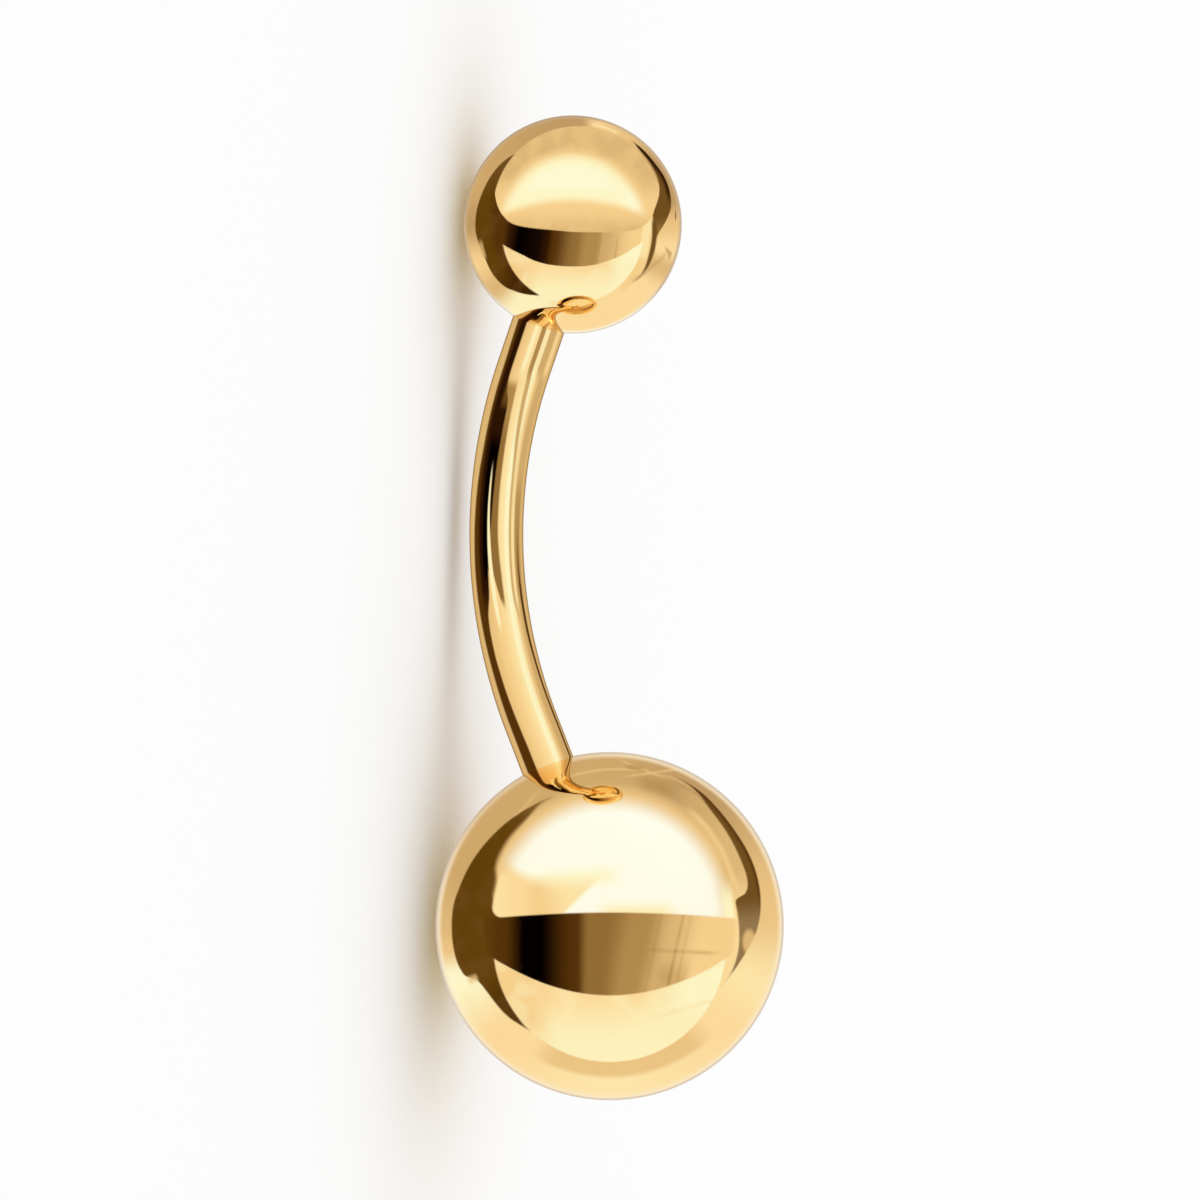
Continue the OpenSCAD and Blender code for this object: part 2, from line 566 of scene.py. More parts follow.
def mirror_plane(nt, ball_r, distance):
    """Where a mirror ball shows each point of a far shell round it, from the shell's own coordinates: z to the viewer."""
    tc = nt.nodes.new("ShaderNodeTexCoord")
    vm = nt.nodes.new("ShaderNodeVectorMath")
    vm.operation = "NORMALIZE"
    nt.links.new(tc.outputs["Object"], vm.inputs[0])
    sp = nt.nodes.new("ShaderNodeSeparateXYZ")
    nt.links.new(vm.outputs[0], sp.inputs[0])
    x, y, z = (Ex(nt, sp.outputs[i]) for i in range(3))
    beta = z.min(0.99999).max(-0.99999).acos()
    k = ball_r / distance
    alpha = beta * 0.5
    for _ in range(2):
        alpha = (beta - alpha.sin() * k) * 0.5
    w = alpha.sin() * (alpha.cos() * k + 1.0)
    flat = (x * x + y * y).sqrt().max(0.00001)
    return x / flat * w, y / flat * w, w


def only_for(ob, piece):
    """The light of ob falls on this piece alone, and is seen in its polish only."""
    ob.visible_camera = False
    ob.visible_diffuse = False
    ob.visible_shadow = False
    ob.visible_transmission = False
    group = bpy.data.collections.new(ob.name + "_lights")
    group.objects.link(piece)
    ob.light_linking.receiver_collection = group


def shell(name, centre, radius, piece):
    """A sphere round a point of the bar's frame, its own z towards the camera and its y up in the picture."""
    me = bpy.data.meshes.new(name)
    bm = bmesh.new()
    bmesh.ops.create_icosphere(bm, subdivisions=5, radius=radius)
    bm.to_mesh(me)
    bm.free()
    ob = bpy.data.objects.new(name, me)
    scene.collection.objects.link(ob)
    at = LAY @ centre
    out = (CAM_PLACE - at).normalized()
    right = VIEW.col[0] - VIEW.col[0].dot(out) * out
    right.normalize()
    up = out.cross(right)
    ob.matrix_world = Matrix.Translation(at) @ Matrix((right, up, out)).transposed().to_4x4()
    only_for(ob, piece)
    return ob


def tent_material(name):
    """Cloth that glows and lets other light through."""
    m = bpy.data.materials.new(name)
    m.use_nodes = True
    m.cycles.emission_sampling = "NONE"
    nt = m.node_tree
    nt.nodes.clear()
    out = nt.nodes.new("ShaderNodeOutputMaterial")
    em = nt.nodes.new("ShaderNodeEmission")
    em.inputs["Strength"].default_value = 1.0
    clear = nt.nodes.new("ShaderNodeBsdfTransparent")
    both = nt.nodes.new("ShaderNodeAddShader")
    nt.links.new(em.outputs[0], both.inputs[0])
    nt.links.new(clear.outputs[0], both.inputs[1])
    nt.links.new(both.outputs[0], out.inputs["Surface"])
    return m, nt, em


def cloud_of(nt, a, b, scale):
    n = nt.nodes.new("ShaderNodeTexNoise")
    n.inputs["Scale"].default_value = scale
    n.inputs["Detail"].default_value = 2.0
    put = nt.nodes.new("ShaderNodeCombineXYZ")
    nt.links.new(a.s, put.inputs[0])
    nt.links.new(b.s, put.inputs[1])
    nt.links.new(put.outputs[0], n.inputs["Vector"])
    return Ex(nt, n.outputs["Fac"])


RAD = math.pi / 180


def large_tent():
    m, nt, em = tent_material("large_tent_cloth")
    u, v, r = mirror_plane(nt, BIG_R, CAM_D)
    turn = v.atan2(u)                   # full turn from the right
    al = v.atan2(u * -1.0)              # angle up from the left
    ar = turn                           # angle up from the right
    haze = cloud_of(nt, u, v, 5.0)

    # cloth behind the ring
    col = lit(nt, turn, -math.pi, math.pi, [(d * RAD, c) for d, c in (
        (-180, BISQUE), (-172, AMBER), (-162, PEARL), (-135, GOLDEN), (-90, STRAW), (-40, GOLDEN), (-22, STRAW), (6, AMBER),
        (55, KHAKI), (95, TAN), (160, TAN), (180, BISQUE))])
    lower = light(*AMBER)
    lower = tuple(0.25 * k for k in lower)
    col = mix_colour(nt, r.step(0.885, 0.845) * turn.inside(-118 * RAD, -50 * RAD, 0.12), col, lower)
    # folds of the cloth: fine light arcs over the top
    arcs = (r - (0.905 + u * 0.05)).inside(-0.012, 0.0, 0.008) * u.inside(-0.22, 0.16, 0.05) * v.step(0.0, 0.2)
    arcs = arcs + (v - (0.858 + (u - 0.08) * 0.14)).inside(-0.008, 0.004, 0.008) * u.inside(0.10, 0.40, 0.05)
    arcs = arcs + (v - (0.945 - (u - 0.08) * 0.40)).inside(-0.007, 0.003, 0.008) * u.inside(0.07, 0.30, 0.04)
    arcs = arcs + (v - (0.87 - (u - 0.25) * (u - 0.25) * 1.6)).inside(-0.007, 0.003, 0.010) * u.inside(0.28, 0.50, 0.05) * 0.7
    arcs = arcs + (v - (1.235 + u * 1.12)).inside(-0.010, 0.006, 0.010) * u.inside(-0.56, -0.42, 0.03) * 0.7
    col = mix_colour(nt, arcs.min(1.0) * 0.75, col, tuple(0.25 * k for k in light(*AMBER)))
    patch = (v - (0.86 - (u - 0.1) * 0.25)).inside(-0.06, 0.02, 0.03) * u.inside(0.18, 0.36, 0.05)
    patch = patch.max((v - 0.925 + u * 0.1).inside(-0.016, 0.012, 0.010) * u.inside(0.10, 0.19, 0.03))
    col = mix_colour(nt, patch * 0.6, col, tuple(0.25 * k for k in light(*SAND)))
    col = brighten(nt, col, 4.0)

    # left opening, a dark crescent with a tail under the lower cloth
    edge = al.curve([(-0.95, 0.755), (-0.913, 0.757), (-0.693, 0.785), (-0.517, 0.797), (-0.40, 0.818), (-0.36, 0.850),
                     (-0.30, 0.889), (-0.16, 0.906), (-0.014, 0.908), (0.10, 0.907), (0.257, 0.891), (0.459, 0.872),
                     (0.632, 0.854), (0.782, 0.840), (0.967, 0.824), (1.148, 0.812), (1.2, 0.80)])
    inner = al.curve([(-0.95, 0.755), (-0.6, 0.70), (0.12, 0.60), (0.2, 0.655), (0.255, 0.684), (0.36, 0.693), (0.50, 0.736),
                      (0.677, 0.757), (0.91, 0.770), (1.148, 0.802), (1.2, 0.80)])
    dark = mix_colour(nt, al.step(0.80, 1.15), light(*MOCHA), light(*OLIVE))
    dark = mix_colour(nt, al.step(-0.35, -0.80), dark, light(*UMBER))
    dark = mix_colour(nt, haze.step(0.42, 0.62) * 0.4, dark, light(*BRONZE))
    left = (edge - r).step(-0.005, 0.007) * (r - inner).step(-0.010, 0.022) * al.inside(-0.92, 1.16, 0.03)
    col = mix_colour(nt, left, col, dark)
    notch = (al + 0.37).abs().step(0.045, 0.0) * r.inside(0.815, 0.87, 0.012)
    col = mix_colour(nt, notch * 0.8, col, light(*AMBER))

    # inner cloth, tan, up to the openings
    edge_up = 0.079 - u * u * 0.07
    tan = mix_colour(nt, u.step(0.5, 0.72), light(*TAN), light(*BISQUE))
    tan = mix_colour(nt, v.step(0.35, 0.05) * u.step(0.5, 0.65), tan, light(*GOLDEN))
    reach = ar.curve([(-0.5, 0.728), (-0.367, 0.743), (-0.197, 0.748), (-0.017, 0.740), (0.10, 0.735), (0.183, 0.732),
                      (0.235, 0.796), (0.326, 0.831), (0.476, 0.841), (0.651, 0.856), (0.838, 0.878), (1.021, 0.90), (1.2, 0.75), (1.3, 0.70)])
    dome = (reach - r).step(-0.004, 0.006) * u.step(0.35, 0.5) * v.step(-0.36, -0.3)
    col = mix_colour(nt, dome, col, tan)
    stripe = (r - (0.76 + (ar - 0.4).abs() * 0.09)).inside(-0.02, 0.012, 0.012) * ar.inside(0.3, 0.95, 0.08)
    col = mix_colour(nt, stripe * 0.7, col, light(*HONEY))

    # right opening, a narrower crescent
    far = ar.curve([(-0.51, 0.729), (-0.496, 0.730), (-0.298, 0.768), (-0.148, 0.809), (-0.016, 0.847), (0.138, 0.875), (0.288, 0.891),
                    (0.475, 0.900), (0.647, 0.903), (0.813, 0.915), (0.977, 0.931), (1.143, 0.937), (1.2, 0.94)])
    near = ar.curve([(-0.51, 0.726), (-0.367, 0.743), (-0.197, 0.748), (-0.017, 0.740), (0.10, 0.735), (0.183, 0.732),
                     (0.235, 0.796), (0.326, 0.831), (0.476, 0.841), (0.651, 0.856), (0.838, 0.878), (1.021, 0.921), (1.129, 0.934), (1.2, 0.94)])
    shade = mix_colour(nt, ar.step(0.0, 0.22), light(*DRAB), light(*BRONZE))
    shade = mix_colour(nt, (far - r).step(0.03, 0.0) * ar.step(0.05, 0.3), shade, light(*COCOA))
    shade = mix_colour(nt, ((u - 0.80) * (u - 0.80) + (v + 0.09) * (v + 0.09) * 0.3).sqrt().step(0.05, 0.025), shade, light(*BISQUE))
    right = (far - r).step(-0.005, 0.006) * (r - near).step(-0.005, 0.008) * ar.inside(-0.5, 1.14, 0.02)
    col = mix_colour(nt, right, col, shade)

    # the room through the front opening, with a window in it
    edge_low = u * u * 0.48 - 0.398
    lean = u - (v + 0.16) * u.step(-0.2, 0.15) * 0.22
    room = ramp(nt, lean, -0.75, 0.75, [(p, light(*c)) for p, c in (
        (-0.75, MOCHA), (-0.61, COCOA), (-0.49, INK), (-0.40, INK), (-0.19, COCOA), (-0.12, OLIVE), (-0.04, OLIVE),
        (0.11, SAND), (0.17, SAND), (0.34, BISQUE), (0.52, HONEY), (0.75, HONEY))])
    bars = lean.inside(0.240, 0.256, 0.012) * 0.40 + lean.inside(0.366, 0.380, 0.010) * 0.60 + lean.inside(0.415, 0.424, 0.009) * 0.45
    bars = bars + (v + 0.125 + u * 0.05).inside(-0.009, 0.009, 0.012) * u.inside(0.1, 0.6, 0.06) * 0.5
    bars = bars + v.step(-0.16, -0.30) * lean.inside(0.30, 0.47, 0.03) * 0.5
    room = mix_colour(nt, (bars * (haze.step(0.3, 0.6) * 0.5 + 0.5)).min(1.0), room, light(*SAND))
    band = (edge_up - v).step(-0.006, 0.006) * (v - edge_low).step(-0.006, 0.006) * (r - 0.735).step(0.0, -0.03)
    col = mix_colour(nt, band, col, room)

    # upper soft box
    ring = (u * u + (v - 0.051) * (v - 0.051)).sqrt()
    up = (v - edge_up).step(-0.007, 0.007)
    free = (r - al.curve([(0.055, 0.56), (0.075, 0.625), (0.105, 0.662), (0.15, 0.680), (0.255, 0.684), (0.36, 0.690), (0.50, 0.728), (0.677, 0.752), (0.91, 0.775), (1.3, 0.90)])).step(0.008, -0.010)
    free = mix_value(nt, u.step(-0.02, -0.12), 1.0, free)
    glow = up * (ring - 0.664).step(0.060, -0.075) * free
    tight = up * (ring - 0.676).step(0.02, -0.02) * u.step(-0.40, -0.55) * v.step(0.40, 0.26) * free
    glow = glow.max(tight)
    col = mix_colour(nt, up * free * (ring - 0.666).step(0.12, 0.03) * u.step(0.7, 0.6), col, light(*AMBER))
    white = mix_colour(nt, (v - 0.30 - u * 0.1).inside(-0.05, 0.03, 0.05) * u.step(0.1, -0.05), light(*BRIGHT), light(*PEARL))
    warm = (v - (u.step(-0.40, -0.66) * 0.12 + 0.255)).step(0.055, -0.055) * (u - (-0.235 + (v - 0.1) * 1.0)).step(0.022, -0.022)
    amber = ramp(nt, u, -0.7, -0.1, [(p, light(*c)) for p, c in (
        (-0.7, STRAW), (-0.5, GOLDEN), (-0.42, HONEY), (-0.18, STRAW))])
    amber = mix_colour(nt, v.step(0.14, 0.25) * u.step(-0.42, -0.28), amber, light(*STRAW))
    white = mix_colour(nt, warm, white, amber)
    white = mix_colour(nt, v.step(0.155, 0.08) * u.inside(-0.04, 0.36, 0.08), white, light(*CREAM))
    col = mix_colour(nt, glow, col, white)
    strip = (u - 0.683 + (v - 0.15) * 0.12).inside(-0.035, 0.022, 0.016) * v.inside(0.0, 0.20, 0.09)
    col = mix_colour(nt, strip * up, col, light(*PEARL))

    # lower cloth
    bowl = (u * u + (v + 0.112) * (v + 0.112)).sqrt()
    low = (edge_low - v).step(-0.006, 0.006) * (bowl - 0.666).step(0.006, -0.006)
    cloth = mix_colour(nt, v.step(-0.36, -0.66), light(*GOLDEN), light(*CREAM))
    cloth = mix_colour(nt, u.step(-0.28, -0.5), cloth, light(*HONEY))
    cloth = mix_colour(nt, (u.step(0.15, 0.5) * v.step(-0.62, -0.45)), cloth, light(*PEARL))
    streak = (v + 0.47 - u * 0.42).inside(-0.02, 0.012, 0.02) + (v + 0.60 - u * 0.30).inside(-0.012, 0.008, 0.012)
    cloth = mix_colour(nt, streak.min(1.0) * u.inside(0.28, 0.62, 0.08) * 0.45, cloth, light(*HONEY))
    cloth = mix_colour(nt, haze.step(0.45, 0.62) * 0.4, cloth, light(*CREAM))
    col = mix_colour(nt, low, col, cloth)

    # the cloth far behind, where the ball's edge shows it, is warmer; it ends in one even, lighter shade
    col = mix_colour(nt, ((r - 0.80) * 5.2).max(0.0).min(1.0) * ((r - 0.80) * 5.2).max(0.0).min(1.0), col, tinted(nt, col, (1.0, 0.90, 0.64)))
    col = mix_colour(nt, r.step(0.958, 0.982) * (turn.inside(100 * RAD, 150 * RAD, 0.35) * -0.40 + 0.75), col, light(*GOLDEN))
    col = mix_colour(nt, r.step(0.982, 0.994) * 0.58, col, light(*KHAKI))
    nt.links.new(col, em.inputs["Color"])
    shell("large_tent", BIG_C, 0.60, large).data.materials.append(m)


def small_tent():
    m, nt, em = tent_material("small_tent_cloth")
    u, v, r = mirror_plane(nt, TOP_R, CAM_D)
    turn = v.atan2(u)
    al = v.atan2(u * -1.0)
    ar = turn
    haze = cloud_of(nt, u + 3.0, v, 5.0)

    # cloth behind the ring
    col = lit(nt, turn, -math.pi, math.pi, [(d * RAD, c) for d, c in (
        (-180, KHAKI), (-158, HONEY), (-140, BISQUE), (-125, CREAM), (-112, CREAM), (-95, GOLDEN), (-40, GOLDEN),
        (-25, BISQUE), (-15, GOLDEN), (0, AMBER), (14, KHAKI), (35, KHAKI), (60, AMBER), (76, HONEY), (86, KHAKI), (160, TAN),
        (180, KHAKI))])
    arcs = (r - 0.935).inside(-0.010, 0.008, 0.008) * u.inside(0.17, 0.42, 0.03) * v.step(0.0, 0.2)
    arcs = arcs + (r - 0.895).inside(-0.007, 0.004, 0.006) * u.inside(0.2, 0.34, 0.03) * v.step(0.0, 0.2)
    col = mix_colour(nt, arcs.min(1.0) * 0.8, col, tuple(0.25 * k for k in light(*STRAW)))
    speck = ((u - 0.944) * (u - 0.944) * 60.0 + (v - 0.08) * (v - 0.08)).sqrt().step(0.055, 0.030)
    col = mix_colour(nt, speck * 0.85, col, tuple(0.25 * k for k in light(*COCOA)))
    leaf = (u - 0.895 + (v + 0.25) * 0.35).step(-0.045, -0.025) * (v + 0.245 - (u - 0.88) * -0.9).step(0.03, 0.0) * v.step(-0.46, -0.30) * r.step(0.955, 0.94)
    col = mix_colour(nt, leaf * 0.75, col, tuple(0.25 * k for k in light(*KHAKI)))
    col = brighten(nt, col, 4.0)

    # left opening
    edge = al.curve([(-1.10, 0.729), (-0.84, 0.814), (-0.674, 0.854), (-0.519, 0.864), (-0.36, 0.862), (-0.153, 0.886), (-0.027, 0.894),
                     (0.131, 0.891), (0.327, 0.880), (0.506, 0.873), (0.688, 0.863), (0.886, 0.834), (1.0, 0.80)])
    dark = mix_colour(nt, al.step(0.35, 0.75), light(*MOCHA), light(*BRONZE))
    dark = mix_colour(nt, r.step(0.80, 0.70), dark, light(*COCOA))
    dark = mix_colour(nt, al.step(-0.45, -0.90), dark, light(*UMBER))
    dark = mix_colour(nt, haze.step(0.45, 0.65) * 0.35, dark, light(*BRONZE))
    left = (edge - r).step(-0.006, 0.007) * r.step(0.55, 0.57) * al.inside(-1.12, 0.98, 0.03)
    col = mix_colour(nt, left, col, dark)
    glint = (al + 0.27).abs().step(0.13, 0.04) * (r - 0.862).abs().step(0.030, 0.010)
    col = mix_colour(nt, glint * 0.7, col, light(*BISQUE))

    # right opening, and the fold that runs down from it
    far = ar.curve([(-0.25, 0.755), (-0.16, 0.775), (-0.08, 0.800), (-0.012, 0.832), (0.10, 0.885), (0.188, 0.918), (0.337, 0.941), (0.480, 0.947),
                    (0.660, 0.940), (0.838, 0.942), (0.982, 0.935), (1.05, 0.93)])
    near = ar.curve([(-0.25, 0.765), (0.0, 0.738), (0.09, 0.733), (0.15, 0.745), (0.223, 0.778), (0.377, 0.850), (0.499, 0.884), (0.655, 0.900),
                     (0.830, 0.913), (0.967, 0.937), (1.05, 0.94)])
    shade = mix_colour(nt, (far - r).step(0.055, 0.01) * ar.step(0.15, 0.35), light(*BRONZE), light(*EARTH))
    shade = mix_colour(nt, ar.step(0.12, -0.1), shade, light(*OLIVE))
    side = light(*GOLDEN)
    cloth = mix_colour(nt, v.step(0.1, -0.3), side, light(*HONEY))
    col = mix_colour(nt, (r - 0.765).step(0.006, -0.006) * u.step(0.4, 0.5), col, cloth)
    right = (far - r).step(-0.005, 0.006) * (r - near).step(-0.006, 0.010) * ar.inside(-0.2, 1.0, 0.03)
    col = mix_colour(nt, right, col, shade)
    fold = ar.curve([(-0.78, 0.757), (-0.60, 0.781), (-0.384, 0.770), (-0.216, 0.760), (0.08, 0.742)])
    thin = ar.step(-0.78, -0.30) * 0.022
    col = mix_colour(nt, ((r - fold).abs() - thin).step(0.012, -0.010) * ar.inside(-0.76, 0.05, 0.05), col, light(*BRONZE))
    seam = (r - ar.curve([(-0.80, 0.745), (-0.62, 0.80), (-0.45, 0.85), (-0.34, 0.893), (-0.28, 0.90)])).inside(-0.030, 0.004, 0.010) * ar.inside(-0.74, -0.30, 0.06)
    col = mix_colour(nt, seam * 0.45, col, light(*KHAKI))

    # dome over the white cloth
    ring = ((u - 0.048) * (u - 0.048) + (v - 0.121) * (v - 0.121)).sqrt()
    brim = u.curve([(-0.722, 0.36), (-0.712, 0.28), (-0.697, 0.20), (-0.672, 0.135), (-0.632, 0.075), (-0.569, 0.018), (-0.50, -0.008), (-0.416, -0.024), (-0.18, -0.049), (0.03, -0.066),
                    (0.24, -0.069), (0.45, -0.066), (0.555, -0.055), (0.62, -0.030), (0.675, 0.008), (0.714, 0.05), (0.735, 0.09), (0.76, 0.16)])
    cover = (ring - 0.779).step(0.006, -0.006) * (v - brim).step(-0.007, 0.007)
    cover = cover * mix_value(nt, u.step(0.40, 0.52), 1.0, (near + 0.004 - r).step(-0.006, 0.008))

    # the room through the front opening
    edge_low = u.curve([(-0.66, -0.17), (-0.604, -0.205), (-0.457, -0.282), (-0.318, -0.344), (-0.179, -0.375), (0.03, -0.386), (0.17, -0.375),
                        (0.31, -0.338), (0.449, -0.282), (0.561, -0.212), (0.623, -0.17), (0.70, -0.10)])
    lean = u - (v + 0.16) * 0.16
    room = ramp(nt, lean, -0.75, 0.75, [(p, light(*c)) for p, c in (
        (-0.75, MOCHA), (-0.66, COCOA), (-0.57, EARTH), (-0.50, INK), (-0.32, SOOT), (-0.24, EARTH), (-0.17, COCOA), (0.02, OLIVE), (0.14, SAND),
        (0.22, SAND), (0.28, TAN), (0.56, HONEY), (0.68, HONEY))])
    bars = lean.inside(0.245, 0.262, 0.01) * 0.5 + lean.inside(0.40, 0.418, 0.01) * 0.45
    room = mix_colour(nt, (bars * v.step(-0.05, -0.2)).min(1.0), room, light(*SAND))
    band = (brim - v).step(-0.007, 0.007) * (v - edge_low).step(-0.006, 0.006) * u.step(-0.70, -0.60) * u.step(0.70, 0.66)
    col = mix_colour(nt, band, col, room)
    col = mix_colour(nt, (u - 0.685 - v * 0.12).inside(-0.04, 0.035, 0.016) * v.inside(-0.3, 0.05, 0.05), col, light(*STRAW))

    # the dome itself
    tone = lit(nt, v, -0.1, 0.95, ((-0.1, BISQUE), (0.16, HONEY), (0.5, BISQUE), (0.95, BISQUE)))
    tone = mix_colour(nt, (haze.step(0.4, 0.62)) * 0.35, tone, tuple(0.25 * k for k in light(*HONEY)))
    col = mix_colour(nt, cover, col, brighten(nt, tone, 4.0))
    core = (u * u + v * v).sqrt()
    under = 0.232 - u.abs() * u.abs() * 0.30
    halo = cover * (core - 0.70).step(0.04, -0.10) * (v - under).step(-0.07, 0.02)
    col = mix_colour(nt, halo, col, light(*GOLDEN))
    glow = cover * (core - v.step(0.4, 0.15) * 0.02 - 0.63).step(0.045, -0.070) * (v - under).step(-0.052, 0.048)
    white = mix_colour(nt, core.step(0.62, 0.45) * v.step(0.25, 0.4), light(*PEARL), light(*IVORY))
    white = mix_colour(nt, u.step(0.4, 0.55) * v.step(0.4, 0.25), white, light(*IVORY))
    col = mix_colour(nt, glow, col, white)

    # lower cloth
    bowl = (u * u + (v + 0.074) * (v + 0.074)).sqrt()
    low = (edge_low - v).step(-0.006, 0.006) * (bowl - 0.647).step(0.008, -0.008)
    cloth = mix_colour(nt, v.step(-0.36, -0.62), light(*GOLDEN), light(*CREAM))
    cloth = mix_colour(nt, u.step(-0.3, -0.5), cloth, light(*HONEY))
    cloth = mix_colour(nt, u.step(0.25, 0.5), cloth, light(*PEARL))
    cloth = mix_colour(nt, haze.step(0.45, 0.62) * 0.4, cloth, light(*CREAM))
    col = mix_colour(nt, low, col, cloth)

    # the cloth far behind, where the ball's edge shows it, is warmer; it ends in one even shade
    col = mix_colour(nt, ((r - 0.80) * 5.2).max(0.0).min(1.0) * ((r - 0.80) * 5.2).max(0.0).min(1.0), col, tinted(nt, col, (1.0, 0.90, 0.64)))
    col = mix_colour(nt, r.step(0.962, 0.985) * 0.85, col, mix_colour(nt, v.step(-0.50, -0.85), light(*TAN), light(*STRAW)))
    col = mix_colour(nt, r.step(0.984, 0.996) * 0.65, col, light(*KHAKI))
    col = mix_colour(nt, r.step(0.975, 0.988) * r.step(0.9985, 0.994) * turn.inside(75 * RAD, 178 * RAD, 0.3) * 0.35, col, light(*OLIVE))
    nt.links.new(col, em.inputs["Color"])
    shell("small_tent", TOP_C, 0.62, small).data.materials.append(m)


def bar_tent(rho=2.5, n=96):
    m, nt, em = tent_material("bar_tent_cloth")
    uv = nt.nodes.new("ShaderNodeUVMap")
    uv.uv_map = "place"
    sp = nt.nodes.new("ShaderNodeSeparateXYZ")
    nt.links.new(uv.outputs[0], sp.inputs[0])
    w = Ex(nt, sp.outputs[0]) * 2.0 - 1.0           # across the bar's picture, -1 to 1
    t = Ex(nt, sp.outputs[1]) * 80.0 - 40.0         # along it, as the bend's angle in degrees
    quarter = lambda c: tuple(0.25 * k for k in light(*c))
    wave = cloud_of(nt, w * 0.6, t * 0.16, 3.0) * 2.4 - 1.2
    along = t + wave * 0.5

    # the cloth, lightest to the right of the middle and warmer towards both sides
    col = lit(nt, w, -1, 1, (
        (-1, DRAB), (-0.92, BISQUE), (-0.80, BISQUE), (-0.44, AMBER), (-0.15, HONEY), (0.08, GOLDEN), (0.24, STRAW), (0.36, PEARL),
        (0.46, CREAM), (0.60, AMBER), (0.72, TAN), (0.82, TAN), (0.92, BISQUE), (1.0, DRAB)))
    upper = along.step(-18.0, -20.5)
    col = mix_colour(nt, upper * (w + 0.02).abs().step(0.13, 0.02), col, quarter(CREAM))
    col = mix_colour(nt, upper * w.inside(0.50, 0.70, 0.05), col, quarter(TAN))
    col = mix_colour(nt, upper * w.inside(0.74, 0.88, 0.04), col, quarter(HONEY))
    col = mix_colour(nt, along.inside(-6.5, 6.0, 2.0) * w.inside(0.67, 0.86, 0.03) * 0.8, col, quarter(SAND))

    # a seam in it, and the light crest on the seam's right
    seam_at = t.curve([(-40.0, 0.25), (-21.0, 0.25), (-18.0, 0.31), (-15.0, 0.365), (-12.0, 0.42), (-9.0, 0.475), (-6.0, 0.495),
                       (5.0, 0.51), (8.0, 0.585), (11.0, 0.66), (14.0, 0.70)])
    seam_half = t.curve([(-40.0, 0.05), (-21.0, 0.05), (-12.0, 0.035), (-6.0, 0.012), (6.0, 0.012), (10.0, 0.0)])
    crest_at = t.curve([(-40.0, 0.40), (-22.0, 0.40), (-19.0, 0.49), (-15.0, 0.53), (-11.0, 0.58), (-8.0, 0.60), (6.0, 0.60), (10.0, 0.62)])
    crest = (w - crest_at).abs().step(0.075, 0.015) * t.curve([(-40.0, 1.0), (-17.0, 1.0), (-13.0, 0.55), (-6.0, 0.55), (-2.0, 0.9), (4.0, 0.9), (8.0, 0.0)])
    col = mix_colour(nt, crest, col, quarter(STRAW))
    seam = ((w - seam_at).abs() - seam_half).step(0.06, -0.005) * along.step(10.0, 6.5)
    col = mix_colour(nt, seam, col, quarter(TAN))
    col = mix_colour(nt, seam * upper, col, quarter(SAND))

    # dimmer cloth beside the opening, over the middle of the bend
    dim_right = t.curve([(-18.0, -0.05), (-15.0, 0.0), (-12.0, 0.03), (-8.0, 0.055), (-2.0, 0.055), (1.0, 0.09), (4.0, 0.14), (6.5, 0.16)])
    dim_left = t.curve([(-18.0, -0.50), (2.0, -0.40), (3.5, -0.16), (5.0, -0.06), (6.5, 0.04), (7.5, 0.15)])
    dim = (dim_right - w).step(-0.045, 0.040) * (w - dim_left).step(-0.03, 0.03) * along.inside(-18.0, 6.8, 0.8)
    col = mix_colour(nt, dim, col, mix_colour(nt, t.step(-11.0, -15.0), quarter(OLIVE), quarter(SAND)))

    # the opening, dark, darkest along its right edge in the middle of the bend
    open_left = t.curve([(-26.0, -0.785), (-22.0, -0.76), (-18.0, -0.735), (-12.0, -0.735), (-8.0, -0.765), (-4.0, -0.795), (0.0, -0.815),
                         (4.0, -0.825), (8.0, -0.815), (12.0, -0.795), (16.0, -0.78), (24.0, -0.785)])
    open_right = t.curve([(-40.0, -0.44), (-19.5, -0.42), (-17.0, -0.34), (-14.5, -0.17), (-9.0, -0.15), (-5.0, -0.16), (-1.5, -0.22),
                          (2.0, -0.32), (5.0, -0.37), (7.0, -0.47), (8.5, -0.53), (11.0, -0.545), (14.0, -0.52), (17.0, -0.49),
                          (20.0, -0.46), (24.0, -0.43), (40.0, -0.40)])
    opening = (w - open_left).step(-0.035, 0.035) * (open_right + wave * 0.008 - w).step(-0.030, 0.035)
    depth = mix_colour(nt, w.step(-0.70, -0.58), quarter(COCOA), quarter(EARTH))
    depth = mix_colour(nt, t.step(4.5, 8.5), depth, quarter(COCOA))
    depth = mix_colour(nt, w.step(-0.57, -0.45) * along.inside(-11.5, 3.8, 1.2), depth, quarter(INK))
    depth = mix_colour(nt, w.step(-0.48, -0.36) * along.inside(-18.5, -15.4, 1.0) * 0.8, depth, quarter(BRONZE))
    col = mix_colour(nt, opening, col, depth)
    # a pale slip of light that runs down beside the dark opening
    slip = t.curve([(-12.0, -0.33), (-7.0, -0.305), (-4.0, -0.30), (-1.0, -0.28), (2.0, -0.25), (5.0, -0.205), (8.0, -0.17), (11.0, -0.12)])
    wide = t.curve([(-12.0, 0.004), (-8.0, 0.022), (-3.0, 0.040), (1.0, 0.062), (5.0, 0.075), (8.0, 0.060), (11.0, 0.01)])
    pale = ((w - slip).abs() - wide).step(0.022, -0.022) * t.inside(-8.2, 9.2, 1.2)
    beside = (w - slip - wide).inside(0.0, 0.05, 0.03) * t.inside(-8.5, -2.5, 1.5)
    col = mix_colour(nt, beside * 0.85, col, quarter(UMBER))
    col = mix_colour(nt, pale, col, quarter(CREAM))
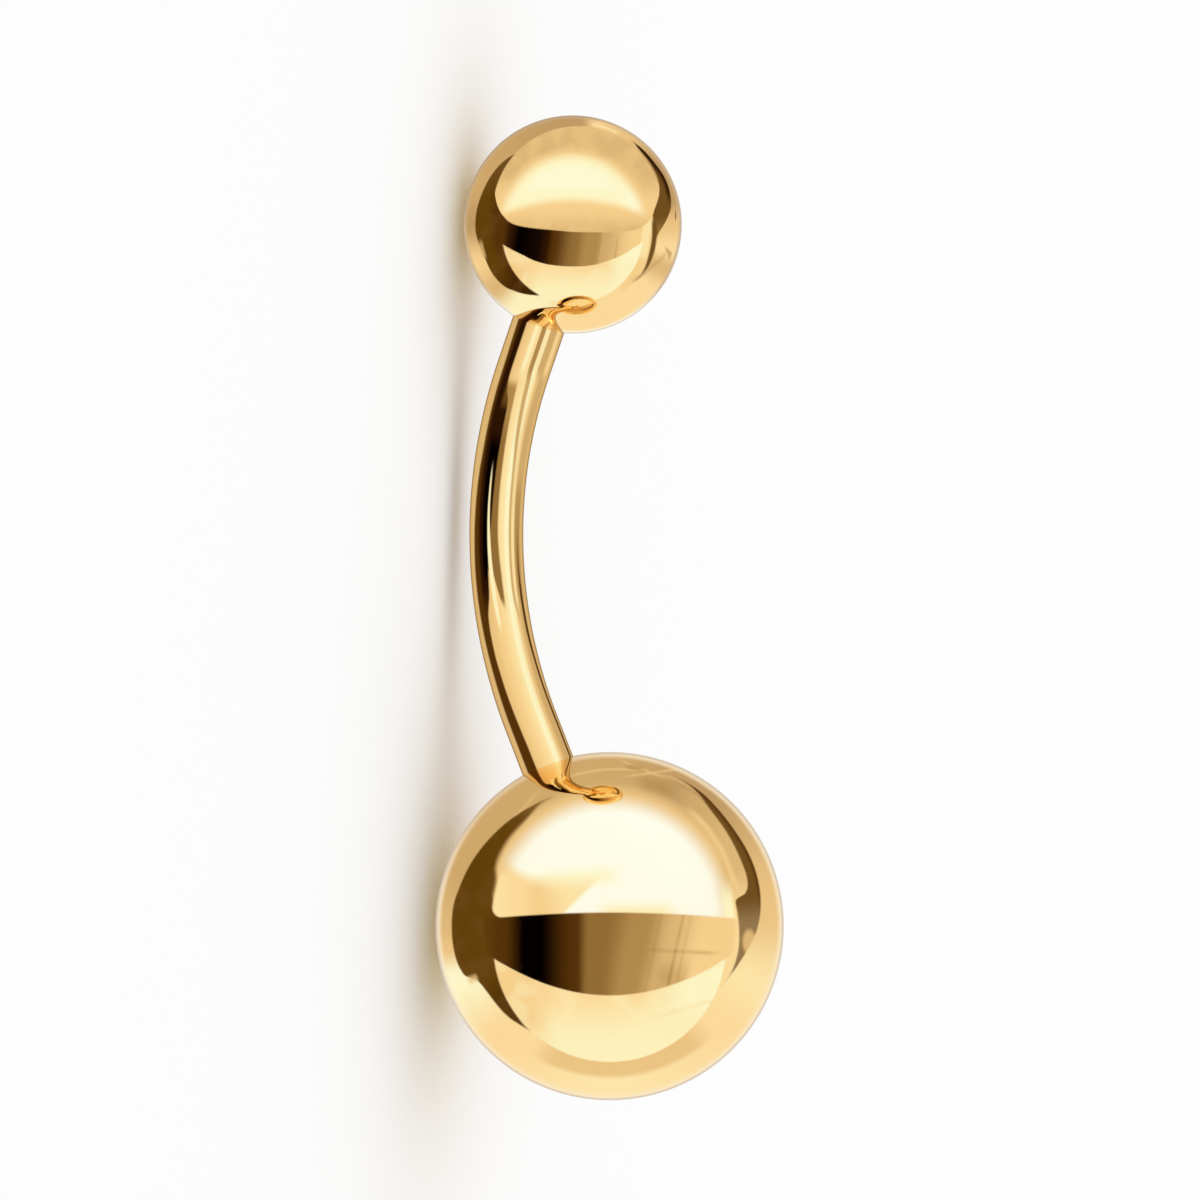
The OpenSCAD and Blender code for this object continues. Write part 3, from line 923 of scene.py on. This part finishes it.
    # a thin dark gap along the right side
    gap = t.curve([(-6.0, 0.775), (2.0, 0.775), (5.0, 0.785), (8.0, 0.80), (11.0, 0.818), (14.0, 0.850), (17.0, 0.872), (20.0, 0.890), (24.0, 0.893)])
    dark = ((w - gap).abs() - t.curve([(4.0, 0.022), (8.0, 0.034), (14.0, 0.026), (24.0, 0.022)])).step(0.028, -0.012) * t.step(-5.0, 6.0)
    col = mix_colour(nt, dark, col, quarter(COCOA))
    edge = ((w.abs() - 0.80) * 5.2).max(0.0).min(1.0)
    col = mix_colour(nt, edge * edge, col, tinted(nt, col, (0.98, 0.82, 0.46)))
    nt.links.new(brighten(nt, col, 4.0), em.inputs["Color"])

    stations = []
    for i in range(25):
        run = TOP_RUN * (1 - i / 24)
        stations.append((end_point(-1, run), Vector((math.cos(BEND_HALF), -math.sin(BEND_HALF), 0)), -math.degrees(BEND_HALF + run / BEND_R)))
    for i in range(1, 80):
        a = -BEND_HALF + 2 * BEND_HALF * i / 80
        stations.append((Vector((BEND_R * math.sin(a), BEND_R * (1 - math.cos(a)), 0)), Vector((math.cos(a), math.sin(a), 0)), math.degrees(a)))
    for i in range(25):
        run = BIG_RUN * i / 24
        stations.append((end_point(1, run), Vector((math.cos(BEND_HALF), math.sin(BEND_HALF), 0)), math.degrees(BEND_HALF + run / BEND_R)))
    verts, faces, places = [], [], []
    for c, along, deg in stations:
        look = (P_PLACE - c).normalized()
        look = (look - along * look.dot(along)).normalized()
        side = look.cross(along)
        if side.dot(Vector((-along.y, along.x, 0))) < 0:
            side = -side
        for k in range(n + 1):
            beta = -math.pi + 2 * math.pi * k / n
            phi = beta / 2
            for _ in range(8):
                phi = (beta + math.asin(BAR_R / rho * math.sin(phi))) / 2
            phi = max(-math.pi / 2, min(math.pi / 2, phi))
            verts.append(LAY @ (c + (look * math.cos(beta) + side * math.sin(beta)) * rho))
            places.append(((math.sin(phi) + 1) / 2, (deg + 40) / 80))
    for i in range(len(stations) - 1):
        for k in range(n):
            a = i * (n + 1) + k
            faces.append((a, a + 1, a + n + 2, a + n + 1))
    me = bpy.data.meshes.new("bar_tent")
    me.from_pydata([tuple(p) for p in verts], [], faces)
    layer = me.uv_layers.new(name="place")
    for loop in me.loops:
        layer.data[loop.index].uv = places[loop.vertex_index]
    ob = bpy.data.objects.new("bar_tent", me)
    scene.collection.objects.link(ob)
    me.materials.append(m)
    only_for(ob, bar)


large_tent()
small_tent()
bar_tent()

# ---------------------------------------------------------------- even light for the floor
world = bpy.data.worlds.new("world")
scene.world = world
world.use_nodes = True
bg = world.node_tree.nodes["Background"]
bg.inputs["Color"].default_value = (1.0, 1.0, 1.0, 1.0)
bg.inputs["Strength"].default_value = 1.0
world.cycles_visibility.glossy = False
